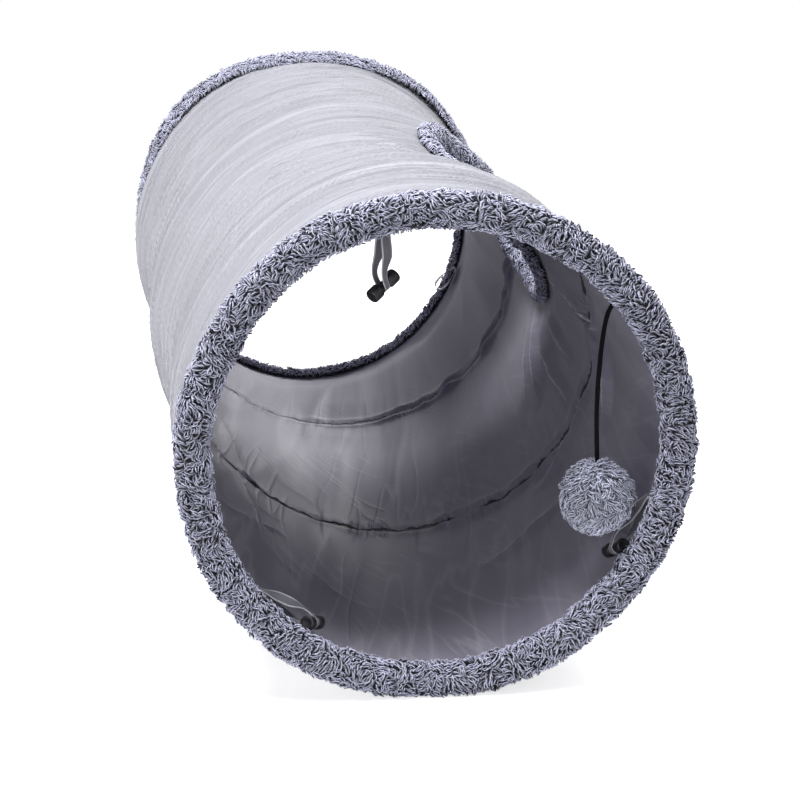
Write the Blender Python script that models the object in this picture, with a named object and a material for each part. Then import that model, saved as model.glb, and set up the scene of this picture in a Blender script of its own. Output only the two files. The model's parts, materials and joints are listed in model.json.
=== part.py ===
"""A collapsible pet play tunnel: a cloth tube on a coiled spring wire, with a plush binding round each mouth,
a plush-edged peephole in its side, a pompom on an elastic cord, and ribbon loops with barrel toggles that hold
it shut once it is pressed flat. Metres, +Z up. The tunnel lies along Y and rests on its two bindings, with its
origin on the floor under the middle. Angles run from +X, anticlockwise as seen from the near mouth at -Y."""

import math

import bmesh
import bpy
from mathutils import Matrix, Vector

MM = 0.001
FULL_TURN = 360
HALF_TURN = 180

# The tunnel as a whole
tunnel_length = 855 * MM  # between the middles of the two bindings
round_steps = 40  # facets round the tunnel, the same on every piece so that they nest
seat_gap = 0.3 * MM  # between pieces that touch
weld_gap = 0.03 * MM  # points nearer than this are one
sharp_angle = 50  # faces that meet more steeply keep their edge

# Plush binding round each mouth: a band folded over the hoop, open at the back where the cloth goes in
binding_outer_radius = 164.5 * MM
binding_thickness = 20 * MM  # from its inner to its outer face
binding_width = 24 * MM  # along the tunnel
binding_leg = 4.8 * MM  # plush outside the outer cloth and inside the lining
binding_front = 6 * MM  # plush in front of the hoop
binding_points = 12  # round its section
foot_depth = 1.2 * MM  # how far the binding is pressed flat where it stands

# Spring wire: a hoop in each binding and the coil between them
hoop_wire = 3 * MM
coil_wire_size = 2.2 * MM
wire_sides = 5
coil_turns = 2.5
coil_start_angle = -99  # where the coil leaves the near hoop
coil_room = 0.8 * MM  # between the coil and the outer cloth

# Outer cloth and lining
cloth_thickness = 1 * MM
cloth_tuck = 11.5 * MM  # how far the cloth reaches into a binding, from the binding's back
straight_reach = 14 * MM  # from the binding's middle to where the cloth starts to change
flare_reach = 45 * MM  # and to where the lining has reached its own distance
sag_reach = 75 * MM  # and to where the cloth hangs fully between the turns
cloth_bands = 12  # between the two flares
sag_between_turns = 5 * MM
sag_at_peephole = 6.5 * MM
sag_spread = 130 * MM
layer_spacing = 6 * MM  # outer cloth to lining, middle to middle

# Tape that holds the coil to the outer cloth
tape_width = 14 * MM
tape_thickness = 0.6 * MM
tape_free_steps = 3  # facets of the coil left bare at each end

# Peephole
peephole_angle = 35
peephole_along = 440 * MM  # from the middle of the near binding
peephole_ring_radius = 81 * MM  # to the middle of its plush edge
peephole_edge_width = 22 * MM
peephole_edge_thickness = 22 * MM
peephole_edge_front = 10 * MM  # plush between the opening and the cloth's cut edge
peephole_room = 0.9 * MM  # between the cloth and the plush on each side
peephole_steps = 32
peephole_points = 12

# Pompom on its elastic cord
pompom_radius = 23 * MM
pompom_dimple = 3 * MM
pompom_dimple_radius = 5 * MM
pompom_steps = 20
pompom_rows = 9
cord_diameter = 3 * MM
cord_angle = 38
cord_exit_turn = 48  # degrees round the binding's section, from its inner face to its back
cord_spacing = 8 * MM
cord_bend_shares = (  # from where it leaves the binding, in outer radii of the binding
    Vector((0, 0, 0)),
    Vector((-0.0195, 0.0158, -0.0195)),
    Vector((-0.0377, 0.0255, -0.0669)),
    Vector((-0.0523, 0.0304, -0.1641)),
    Vector((-0.0632, 0.0316, -0.2918)),
    Vector((-0.0687, 0.0316, -0.4195)),
    Vector((-0.0675, 0.0304, -0.5471)),
    Vector((-0.0626, 0.0304, -0.6687)),
)

# Barrel toggles and their ribbon loops
toggle_length = 24 * MM
toggle_radius = 4.75 * MM
toggle_waist_radius = 3 * MM
toggle_waist_width = 4.8 * MM
toggle_shoulder = 2.2 * MM  # from the waist out to the full radius
toggle_chamfer = 0.9 * MM
toggle_tip = 30  # degrees that each barrel leans in its loop
toggle_steps = 12
toggle_stand = 5.8 * MM  # from the lining to the middle of a barrel that lies against it
ribbon_width = 7 * MM
ribbon_waist_width = 4.2 * MM  # where it runs round the barrel
ribbon_thickness = 0.7 * MM
ribbon_leg_gap = 0.3 * MM  # between the two legs where they are sewn in
ribbon_bulge = 4.4 * MM  # how far each leg bows out
loop_length = 41 * MM  # from the seam to the middle of the toggle
loop_bend_steps = 8
leg_bow_share = 0.25  # of a loop's length: its legs are half apart here
leg_wide_share = 0.67  # and at their widest here
legs_end_share = 0.5  # of a loop's length: its legs lie as they are sewn as far as here
bend_start_share = 0.93  # and take the bend's width and lean from here
far_loop_length = 22 * MM
far_loop_radius = 4.75 * MM
far_loop_stand = 9.5 * MM  # from the lining's middle to the middle of the loop's bend

# Worked out from the sizes above
half_length = tunnel_length / 2
axis_height = binding_outer_radius - foot_depth
binding_middle_radius = binding_outer_radius - binding_thickness / 2
binding_inner_radius = binding_outer_radius - binding_thickness
slot_outer_radius = binding_outer_radius - binding_leg
slot_inner_radius = binding_inner_radius + binding_leg
shell_mouth_radius = slot_outer_radius - seat_gap - cloth_thickness / 2
lining_mouth_radius = slot_inner_radius + seat_gap + cloth_thickness / 2
mouth_spacing = shell_mouth_radius - lining_mouth_radius
slot_end = binding_front - binding_width / 2
cloth_start = binding_width / 2 - cloth_tuck
hoop_radius = slot_outer_radius - seat_gap - hoop_wire / 2
hoop_along = slot_end + seat_gap + hoop_wire / 2
coil_depth = cloth_thickness / 2 + coil_room + coil_wire_size / 2
coil_start = hoop_along + hoop_wire / 2 + seat_gap + coil_wire_size / 2
coil_sweep = coil_turns * FULL_TURN
coil_pitch = (tunnel_length - 2 * coil_start) / coil_turns
step_angle = FULL_TURN / round_steps
tape_depth = coil_depth + coil_wire_size / 2 + seat_gap + tape_thickness / 2
peephole_cloth_radius = peephole_ring_radius - peephole_edge_width / 2 + peephole_edge_front + seat_gap
peephole_wall_radius = shell_mouth_radius - layer_spacing / 2


def smooth(value, start, end):
    """0 before start, 1 after end, and a smooth step between them."""
    share = min(1, max(0, (value - start) / (end - start)))
    return share * share * (3 - 2 * share)


def round_axis(angle, radius, along):
    """A point at an angle and a radius from the tunnel's axis, seen from the middle of the near binding."""
    turn = math.radians(angle)
    return Vector((radius * math.cos(turn), along, radius * math.sin(turn)))


def mouth_share(along, reach):
    """0 inside a binding and 1 from reach onwards, at both mouths."""
    nearest = min(along, tunnel_length - along)
    return smooth(nearest, straight_reach, reach)


def turn_share(angle, along):
    """How far round a point lies from one turn of the coil to the next, from 0 to 1."""
    wire = coil_start_angle - FULL_TURN * (along - coil_start) / coil_pitch
    return ((wire - angle) / FULL_TURN) % 1


def shell_radius(angle, along):
    """The outer cloth stands out at each turn of the coil and sags between them and round the peephole."""
    between = math.sin(math.pi * turn_share(angle, along)) ** 2
    turned = (angle - peephole_angle + HALF_TURN) % FULL_TURN - HALF_TURN
    across = math.radians(turned) * peephole_wall_radius
    away = math.hypot(across, along - peephole_along)
    sag = sag_between_turns * between + sag_at_peephole * math.exp(-((away / sag_spread) ** 2))
    return shell_mouth_radius - sag * mouth_share(along, sag_reach)


def lining_radius(angle, along):
    """The lining keeps its distance from the outer cloth, and spreads to the binding's inner leg at a mouth."""
    share = mouth_share(along, flare_reach)
    return shell_radius(angle, along) - mouth_spacing + (mouth_spacing - layer_spacing) * share


def wall_radius(angle, along):
    """Halfway between the two cloths."""
    return (shell_radius(angle, along) + lining_radius(angle, along)) / 2


def finish(name, colour, roughness, metallic=0.0):
    """A plain material of the piece's own."""
    made = bpy.data.materials.new(name)
    made.use_nodes = True
    shader = made.node_tree.nodes["Principled BSDF"]
    shader.inputs["Base Color"].default_value = (*colour, 1)
    shader.inputs["Roughness"].default_value = roughness
    shader.inputs["Metallic"].default_value = metallic
    return made


def place(piece, parent, location=(0, 0, 0), turn=None):
    """Puts a piece in the scene, on its parent."""
    bpy.context.scene.collection.objects.link(piece)
    piece.parent = parent
    matrix = Matrix.Translation(location)
    if turn is not None:
        matrix = matrix @ turn.to_4x4()
    piece.matrix_local = matrix
    return piece


def mesh_object(name, mesh, material, round_shape=True):
    """An object for a mesh, with its material on it."""
    if round_shape:
        mesh.shade_smooth()
        mesh.set_sharp_from_angle(angle=math.radians(sharp_angle))
    piece = bpy.data.objects.new(name, mesh)
    mesh.materials.append(material)
    return piece


def skin(sections, closed):
    """A mesh over sections of equal count. Closed joins the last to the first, and otherwise both ends are capped."""
    shape = bmesh.new()
    rings = [[shape.verts.new(point) for point in section] for section in sections]
    count = len(rings[0])
    for index in range(len(rings) if closed else len(rings) - 1):
        here = rings[index]
        there = rings[(index + 1) % len(rings)]
        for corner in range(count):
            after = (corner + 1) % count
            shape.faces.new((here[corner], here[after], there[after], there[corner]))
    if not closed:
        shape.faces.new(list(reversed(rings[0])))
        shape.faces.new(rings[-1])
    bmesh.ops.recalc_face_normals(shape, faces=shape.faces)
    return shape


def to_mesh(name, shape):
    """Turns a bmesh into a mesh with its faces split into triangles."""
    bmesh.ops.triangulate(shape, faces=shape.faces, quad_method="FIXED", ngon_method="EAR_CLIP")
    mesh = bpy.data.meshes.new(name)
    shape.to_mesh(mesh)
    shape.free()
    return mesh


def turned(profile, steps):
    """A body of revolution about Y, from points (radius, along) whose first and last lie on the axis."""
    shape = bmesh.new()
    points = [shape.verts.new((radius, along, 0)) for radius, along in profile]
    edges = [shape.edges.new(pair) for pair in zip(points, points[1:])]
    bmesh.ops.spin(
        shape,
        geom=points + edges,
        cent=(0, 0, 0),
        axis=(0, 1, 0),
        angle=math.radians(FULL_TURN),
        steps=steps,
    )
    bmesh.ops.remove_doubles(shape, verts=shape.verts, dist=weld_gap)
    bmesh.ops.recalc_face_normals(shape, faces=shape.faces)
    return shape


def section_arc(half_thickness, half_width, slot_low, slot_high, slot_depth, points):
    """A plush edge's section as (across, along) pairs: an oval with a slot cut in from its back, from slot_low to
    slot_high across and down to slot_depth along."""
    first = math.asin(slot_high / half_thickness)
    last = math.asin(slot_low / half_thickness)
    sweep = 2 * math.pi + last - first
    oval = []
    for index in range(points):
        turn = first + sweep * index / (points - 1)
        oval.append((half_thickness * math.sin(turn), half_width * math.cos(turn)))
    return oval + [(slot_low, slot_depth), (slot_high, slot_depth)]


for old in list(bpy.data.objects):
    bpy.data.objects.remove(old)

# Each mouth is an empty in the middle of its binding. The far one faces the other way.
near_mouth = place(bpy.data.objects.new("near_mouth", None), None, (0, -half_length, axis_height))
far_mouth = place(
    bpy.data.objects.new("far_mouth", None),
    None,
    (0, half_length, axis_height),
    Matrix.Rotation(math.radians(HALF_TURN), 3, "Z"),
)


def make_binding_mesh():
    """The plush band round a mouth: a ring of C sections, flat where it stands."""
    oval = section_arc(
        binding_thickness / 2,
        binding_width / 2,
        slot_inner_radius - binding_middle_radius,
        slot_outer_radius - binding_middle_radius,
        slot_end,
        binding_points,
    )
    sections = [
        [round_axis(step * step_angle, binding_middle_radius + across, along) for across, along in oval]
        for step in range(round_steps)
    ]
    shape = skin(sections, True)
    cut = bmesh.ops.bisect_plane(
        shape,
        geom=shape.verts[:] + shape.edges[:] + shape.faces[:],
        plane_co=(0, 0, -axis_height),
        plane_no=(0, 0, -1),
        clear_outer=True,
    )
    rim = [item for item in cut["geom_cut"] if isinstance(item, bmesh.types.BMEdge)]
    bmesh.ops.contextual_create(shape, geom=rim)
    bmesh.ops.recalc_face_normals(shape, faces=shape.faces)
    return to_mesh("binding", shape)


def make_hoop_mesh():
    """The spring wire ring that keeps a mouth open."""
    sections = []
    for step in range(round_steps):
        ring = []
        for side in range(wire_sides):
            turn = 2 * math.pi * side / wire_sides
            across = hoop_wire / 2 * math.cos(turn)
            along = hoop_wire / 2 * math.sin(turn)
            ring.append(round_axis(step * step_angle, hoop_radius + across, hoop_along + along))
        sections.append(ring)
    return to_mesh("hoop", skin(sections, True))


binding_mesh = make_binding_mesh()
hoop_mesh = make_hoop_mesh()
for mouth, side in ((near_mouth, "near"), (far_mouth, "far")):
    plush = finish(side + "_binding", (0.33, 0.34, 0.41), 0.95)
    steel = finish(side + "_hoop", (0.45, 0.45, 0.46), 0.35, 1.0)
    place(mesh_object(side + "_binding", binding_mesh.copy(), plush), mouth)
    place(mesh_object(side + "_hoop", hoop_mesh.copy(), steel), mouth)


def cloth_rows():
    """Places along the tunnel where the cloth has a row of points, closer together at the mouths."""
    first = [cloth_start, straight_reach, flare_reach]
    inner = tunnel_length - 2 * flare_reach
    middle = [flare_reach + inner * row / cloth_bands for row in range(1, cloth_bands)]
    return first + middle + [tunnel_length - along for along in reversed(first)]


def make_cloth_mesh(name, radius_at):
    """A tube of cloth with its two faces and its two hems."""
    rows = cloth_rows()
    sections = []
    for step in range(round_steps):
        angle = step * step_angle
        outside = [round_axis(angle, radius_at(angle, along) + cloth_thickness / 2, along) for along in rows]
        inside = [round_axis(angle, radius_at(angle, along) - cloth_thickness / 2, along) for along in rows]
        sections.append(outside + inside[::-1])
    return to_mesh(name, skin(sections, True))


def wall_place(across, along, offset):
    """A point on the side wall, from how far it lies round the wall and along it from the peephole's middle."""
    angle = peephole_angle + math.degrees(across / peephole_wall_radius)
    place_along = peephole_along + along
    return round_axis(angle, wall_radius(angle, place_along) + offset, place_along)


def make_peephole_cutter():
    """A plug along the peephole's own direction, which cuts both cloths."""
    turn = math.radians(peephole_angle)
    outward = Vector((math.cos(turn), 0, math.sin(turn)))
    sideways = Vector((-math.sin(turn), 0, math.cos(turn)))
    middle = Vector((0, peephole_along, 0))
    inner = []
    outer = []
    for step in range(peephole_steps):
        round_turn = 2 * math.pi * step / peephole_steps
        bend = peephole_cloth_radius * math.cos(round_turn) / peephole_wall_radius
        across = sideways * peephole_wall_radius * math.sin(bend)
        along = Vector((0, peephole_cloth_radius * math.sin(round_turn), 0))
        inner.append(middle + across + along)
        outer.append(middle + across + along + outward * 2 * binding_outer_radius)
    cutter = bpy.data.objects.new("peephole_cutter", to_mesh("peephole_cutter", skin([inner, outer], False)))
    cutter.hide_render = True
    cutter.display_type = "WIRE"
    return place(cutter, near_mouth)


peephole_cutter = make_peephole_cutter()
cloths = (
    ("outer_cloth", shell_radius, (0.60, 0.59, 0.66), 0.85),
    ("lining", lining_radius, (0.22, 0.22, 0.26), 0.55),
)
for name, radius_at, colour, roughness in cloths:
    cloth = mesh_object(name, make_cloth_mesh(name, radius_at), finish(name, colour, roughness))
    place(cloth, near_mouth)
    hole = cloth.modifiers.new("peephole", "BOOLEAN")
    hole.operation = "DIFFERENCE"
    hole.solver = "EXACT"
    hole.object = peephole_cutter


def coil_place(turned_by, depth, sideways=0.0):
    """A point under the outer cloth where the coil has turned by that many degrees, moved sideways along the tunnel."""
    angle = coil_start_angle - turned_by
    along = coil_start + coil_pitch * turned_by / FULL_TURN
    return round_axis(angle, shell_radius(angle, along) - depth, along + sideways)


def make_coil_mesh():
    """The spring wire between the hoops, wound clockwise away from the near mouth."""
    sections = []
    for step in range(round(coil_sweep / step_angle) + 1):
        turned_by = step * step_angle
        ring = []
        for side in range(wire_sides):
            turn = 2 * math.pi * side / wire_sides
            across = coil_wire_size / 2 * math.cos(turn)
            ring.append(coil_place(turned_by, coil_depth + across, coil_wire_size / 2 * math.sin(turn)))
        sections.append(ring)
    return to_mesh("coil", skin(sections, False))


def make_tape_mesh():
    """The tape sewn over the coil, inside the outer cloth."""
    sections = []
    for step in range(tape_free_steps, round(coil_sweep / step_angle) - tape_free_steps + 1):
        turned_by = step * step_angle
        ring = []
        for depth, sideways in ((-1, -1), (-1, 1), (1, 1), (1, -1)):
            low = tape_depth + depth * tape_thickness / 2
            ring.append(coil_place(turned_by, low, sideways * tape_width / 2))
        sections.append(ring)
    return to_mesh("coil_tape", skin(sections, False))


coil = mesh_object("coil_wire", make_coil_mesh(), finish("coil_wire", (0.45, 0.45, 0.46), 0.35, 1.0))
place(coil, near_mouth)
tape = mesh_object("coil_tape", make_tape_mesh(), finish("coil_tape", (0.35, 0.35, 0.38), 0.8))
place(tape, near_mouth)


def make_peephole_edge_mesh():
    """The plush ring that holds the cut edges of both cloths, bent to the curve of the wall."""
    slot = layer_spacing / 2 + cloth_thickness / 2 + peephole_room
    oval = section_arc(
        peephole_edge_thickness / 2,
        peephole_edge_width / 2,
        -slot,
        slot,
        peephole_edge_front - peephole_edge_width / 2,
        peephole_points,
    )
    sections = []
    for step in range(peephole_steps):
        turn = 2 * math.pi * step / peephole_steps
        ring = []
        for offset, outward in oval:
            reach = peephole_ring_radius + outward
            ring.append(wall_place(reach * math.cos(turn), reach * math.sin(turn), offset))
        sections.append(ring)
    return to_mesh("peephole_edge", skin(sections, True))


edge_plush = finish("peephole_edge", (0.33, 0.34, 0.41), 0.95)
place(mesh_object("peephole_edge", make_peephole_edge_mesh(), edge_plush), near_mouth)


def catmull(points, spacing):
    """Evenly read points of a smooth curve through the given ones."""
    ends = [points[0] * 2 - points[1]] + points + [points[-1] * 2 - points[-2]]
    read = [points[0]]
    for index in range(1, len(ends) - 2):
        before, start, end, after = ends[index - 1 : index + 3]
        count = max(1, round((end - start).length / spacing))
        for step in range(1, count + 1):
            share = step / count
            read.append(
                0.5
                * (
                    2 * start
                    + (end - before) * share
                    + (2 * before - 5 * start + 4 * end - after) * share**2
                    + (3 * start - before - 3 * end + after) * share**3
                )
            )
    return read


# The cord leaves the binding's inner back edge, bows a little and ends in the pompom's dimple.
exit_turn = math.radians(cord_exit_turn)
cord_exit_radius = binding_middle_radius - (binding_thickness / 2 + seat_gap) * math.cos(exit_turn)
cord_exit_along = (binding_width / 2 + seat_gap + cord_diameter / 2) * math.sin(exit_turn)
cord_exit = round_axis(cord_angle, cord_exit_radius, cord_exit_along)
cord_bends = [share * binding_outer_radius for share in cord_bend_shares]
cord_curve = bpy.data.curves.new("pompom_cord", "CURVE")
cord_curve.dimensions = "3D"
cord_curve.bevel_depth = cord_diameter / 2
cord_curve.bevel_resolution = 2
cord_curve.use_fill_caps = True
cord_points = catmull(cord_bends, cord_spacing)
spline = cord_curve.splines.new("POLY")
spline.points.add(len(cord_points) - 1)
for point, position in zip(spline.points, cord_points):
    point.co = (*position, 1)
cord = bpy.data.objects.new("pompom_cord", cord_curve)
cord_curve.materials.append(finish("pompom_cord", (0.01, 0.01, 0.012), 0.7))
place(cord, near_mouth, cord_exit)


def make_pompom_mesh():
    """A ball hung from the origin, with a dimple on top where the cord goes in."""
    low_turn = math.asin(pompom_dimple_radius / pompom_radius)
    profile = [(0.0, -pompom_dimple), (cord_diameter / 2 + 2 * seat_gap, -pompom_dimple)]
    for row in range(pompom_rows):
        turn = low_turn + (math.pi - low_turn) * row / (pompom_rows - 1)
        radius = 0.0 if row == pompom_rows - 1 else pompom_radius * math.sin(turn)
        profile.append((radius, pompom_radius * (math.cos(turn) - math.cos(low_turn))))
    shape = turned(profile, pompom_steps)
    bmesh.ops.rotate(
        shape, verts=shape.verts, cent=(0, 0, 0), matrix=Matrix.Rotation(math.pi / 2, 3, "X")
    )
    return to_mesh("pompom", shape)


pompom = mesh_object("pompom", make_pompom_mesh(), finish("pompom", (0.45, 0.46, 0.54), 0.95))
pompom_hang = cord_bends[-1] + Vector((0, 0, pompom_dimple - seat_gap))
place(pompom, cord, pompom_hang)


def make_toggle_mesh():
    """A barrel with a waist for the ribbon, about Y."""
    half = toggle_length / 2
    waist = toggle_waist_width / 2
    side = [
        (toggle_radius - toggle_chamfer, half),
        (toggle_radius, half - toggle_chamfer),
        (toggle_radius, waist + toggle_shoulder),
        (toggle_waist_radius, waist),
    ]
    lower = [(radius, -along) for radius, along in reversed(side)]
    return to_mesh("toggle", turned([(0.0, half)] + side + lower + [(0.0, -half)], toggle_steps))


def make_loop_mesh(length, bend_radius, bulge, bend_width, tip):
    """A ribbon loop hung from the origin down -Z, its width along Y. Its legs meet where they are sewn in and run
    round the middle of its bend at that length. The bend has its own width, and leans with the barrel by tip."""
    sewn = ribbon_leg_gap / 2 + ribbon_thickness / 2
    leg = [
        (sewn, 0),
        ((sewn + bulge) / 2, -length * leg_bow_share),
        (bulge, -length * leg_wide_share),
    ]
    bend = []
    for step in range(loop_bend_steps + 1):
        turn = math.pi * step / loop_bend_steps
        bend.append((bend_radius * math.cos(turn), -length - bend_radius * math.sin(turn)))
    path = leg + bend + [(-across, down) for across, down in reversed(leg)]
    sections = []
    for index, (across, down) in enumerate(path):
        before = path[max(0, index - 1)]
        after = path[min(len(path) - 1, index + 1)]
        run = Vector((after[0] - before[0], 0, after[1] - before[1])).normalized()
        if index in (0, len(path) - 1):
            run = Vector((0, 0, run.z)).normalized()
        face = Vector((-run.z, 0, run.x)) * ribbon_thickness / 2
        bent = smooth(-down / length, legs_end_share, bend_start_share)
        edge = Vector((0, (ribbon_width + (bend_width - ribbon_width) * bent) / 2, 0))
        middle = Vector((across, 0, down + length))
        lean = Matrix.Rotation(math.radians(tip) * bent, 3, "X")
        lift = Vector((0, 0, length))
        corners = (face + edge, face - edge, -face - edge, -face + edge)
        sections.append([lean @ (middle + corner) - lift for corner in corners])
    return to_mesh("ribbon_loop", skin(sections, False))


def hanging_turn(root, end, width_way):
    """The turn that takes a loop's -Z to the way from root to end, and its Y as near width_way as that allows."""
    down = (end - root).normalized()
    width = (width_way - down * width_way.dot(down)).normalized()
    return Matrix((width.cross(-down), width, -down)).transposed()


def loop_seat(angle, along, end_angle, end_radius, length, width_way):
    """Where a loop is sewn to the lining near the near mouth, and where its bend's middle comes. With no end angle
    it hangs straight down."""
    facet_sag = lining_mouth_radius * (1 - math.cos(math.radians(step_angle / 2)))
    surface = lining_radius(angle, along) - cloth_thickness / 2 - facet_sag - seat_gap
    root = round_axis(angle, surface, along)
    inward = round_axis(angle, -1, 0)
    if end_angle is None:
        down = Vector((0, 0, -1))
    else:
        down = (round_axis(end_angle, end_radius, along) - root).normalized()
    half_sewn = ribbon_leg_gap / 2 + ribbon_thickness
    lift = half_sewn * math.sqrt(1 - down.dot(inward) ** 2) + ribbon_width / 2 * abs(width_way.dot(inward))
    root += inward * lift
    return root, root + down * length


toggle_bend = toggle_waist_radius + seat_gap + ribbon_thickness / 2
# For each loop: its name, the angle of its seam, the angle of its toggle (none where it hangs free), its distance
# from the binding's middle, the way of its ribbon's width, and its toggle's lean
loop_along = straight_reach + ribbon_width / 2
lying_along = (binding_width + toggle_length) / 2 - toggle_chamfer
loop_seats = (
    ("top", 103, None, loop_along, Vector((0.8, 0.6, 0)), toggle_tip),
    ("left", -139.5, -123.5, lying_along, Vector((0, 1, 0)), -toggle_tip),
    ("right", -16.5, -32.3, lying_along, Vector((0, 1, 0)), -toggle_tip),
)
lying_radius = lining_mouth_radius - toggle_stand
far_loop_mesh = make_loop_mesh(far_loop_length, far_loop_radius, far_loop_radius, ribbon_width, 0)
toggle_mesh = make_toggle_mesh()
for side, angle, toggle_angle, along, width_way, tip in loop_seats:
    root, end = loop_seat(angle, along, toggle_angle, lying_radius, loop_length, width_way)
    turn = hanging_turn(root, end, width_way)
    loop_mesh = make_loop_mesh(loop_length, toggle_bend, ribbon_bulge, ribbon_waist_width, tip)
    satin = finish(side + "_loop", (0.62, 0.62, 0.66), 0.35)
    loop = place(mesh_object(side + "_loop", loop_mesh, satin), near_mouth, root, turn)
    moulded = finish(side + "_toggle", (0.012, 0.012, 0.014), 0.4)
    toggle = mesh_object(side + "_toggle", toggle_mesh.copy(), moulded)
    place(toggle, loop, (0, 0, -loop_length), Matrix.Rotation(math.radians(tip), 3, "X"))

    # The far loops lie at the same angles. The far mouth faces the other way, so they are turned over.
    far_angle = None
    if toggle_angle is not None:
        far_angle = angle + (toggle_angle - angle) * far_loop_length / loop_length
    far_radius = lining_mouth_radius - far_loop_stand
    length_way = Vector((0, 1, 0))
    far_root, far_end = loop_seat(angle, loop_along, far_angle, far_radius, far_loop_length, length_way)
    flip = Matrix.Rotation(math.radians(HALF_TURN), 3, "Z") @ Matrix.Scale(-1, 3, (0, 1, 0))
    satin = finish("far_" + side + "_loop", (0.62, 0.62, 0.66), 0.35)
    far_loop = mesh_object("far_" + side + "_loop", far_loop_mesh.copy(), satin)
    far_turn = hanging_turn(flip @ far_root, flip @ far_end, length_way)
    place(far_loop, far_mouth, flip @ far_root, far_turn)
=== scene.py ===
import json
import math

import bpy
import numpy as np
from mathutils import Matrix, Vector, kdtree, noise


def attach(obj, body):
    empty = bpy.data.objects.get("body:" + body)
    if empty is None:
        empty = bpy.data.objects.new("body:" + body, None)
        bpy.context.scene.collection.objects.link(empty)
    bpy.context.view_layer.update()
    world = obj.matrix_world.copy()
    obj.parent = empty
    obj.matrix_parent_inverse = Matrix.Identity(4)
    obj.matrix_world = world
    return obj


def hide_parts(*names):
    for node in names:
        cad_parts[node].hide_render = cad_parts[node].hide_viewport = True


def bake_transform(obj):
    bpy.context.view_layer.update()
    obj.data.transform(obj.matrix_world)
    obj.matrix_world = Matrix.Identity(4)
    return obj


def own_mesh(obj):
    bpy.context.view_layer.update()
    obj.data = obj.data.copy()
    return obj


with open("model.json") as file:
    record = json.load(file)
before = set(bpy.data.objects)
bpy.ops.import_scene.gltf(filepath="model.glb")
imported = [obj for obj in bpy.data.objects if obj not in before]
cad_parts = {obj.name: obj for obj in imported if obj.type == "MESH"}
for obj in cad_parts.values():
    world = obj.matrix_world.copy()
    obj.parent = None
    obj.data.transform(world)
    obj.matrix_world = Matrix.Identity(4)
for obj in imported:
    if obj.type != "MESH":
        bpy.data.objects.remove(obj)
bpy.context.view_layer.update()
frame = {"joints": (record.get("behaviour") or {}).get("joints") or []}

# Camera: low, a little to the left of the near mouth, looking down into it with a long lens. It was fitted to the
# outlines of both mouths.
yaw = 0.1342
pitch = -0.2383
camera = bpy.data.objects.new("camera", bpy.data.cameras.new("camera"))
camera.data.sensor_width = 36
camera.data.lens = 113.63
camera.location = (-0.2320, -1.9605, 0.5722)
aim = Vector((math.sin(yaw) * math.cos(pitch), math.cos(yaw) * math.cos(pitch), math.sin(pitch)))
camera.rotation_euler = aim.to_track_quat("-Z", "Y").to_euler()
bpy.context.scene.collection.objects.link(camera)
bpy.context.scene.camera = camera
bpy.context.scene.view_settings.view_transform = "Standard"

# Pompom's cord: a limp round elastic, 3 mm thick and 0.11 m long, braided black yarn over rubber. It comes out
# between the plush and the lining and is knotted inside the pompom.
pivots = {joint["child"]: Vector(joint["pos_m"]) for joint in frame["joints"] if "pos_m" in joint}
cord_radius = 0.0015
cord_sides = 20
cord_bends = (
    (0, 0, 0),
    (-0.0032, 0.0026, -0.0032),
    (-0.0062, 0.0042, -0.011),
    (-0.0086, 0.005, -0.027),
    (-0.0104, 0.0052, -0.048),
    (-0.0113, 0.0052, -0.069),
    (-0.0111, 0.005, -0.090),
    (-0.0103, 0.005, -0.110),
)


class Wire:
    """A node's output. Arithmetic on it adds Math nodes."""

    def __init__(self, look, socket):
        self.look = look
        self.socket = socket

    def math(self, operation, *others):
        return self.look.node("Math", {"operation": operation}, dict(enumerate((self, *others))))

    def __add__(self, other):
        return self.math("ADD", other)

    def __sub__(self, other):
        return self.math("SUBTRACT", other)

    def __mul__(self, other):
        return self.math("MULTIPLY", other)

    def __truediv__(self, other):
        return self.math("DIVIDE", other)

    def __pow__(self, other):
        return self.math("POWER", other)

    def __rsub__(self, other):
        return self.look.node("Math", {"operation": "SUBTRACT"}, {0: other, 1: self})

    __radd__ = __add__
    __rmul__ = __mul__

    def between(self, low, high):
        """0 below low, 1 above high and smooth in between."""
        settings = {"interpolation_type": "SMOOTHSTEP"}
        return self.look.node("MapRange", settings, {"Value": self, "From Min": low, "From Max": high})


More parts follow.
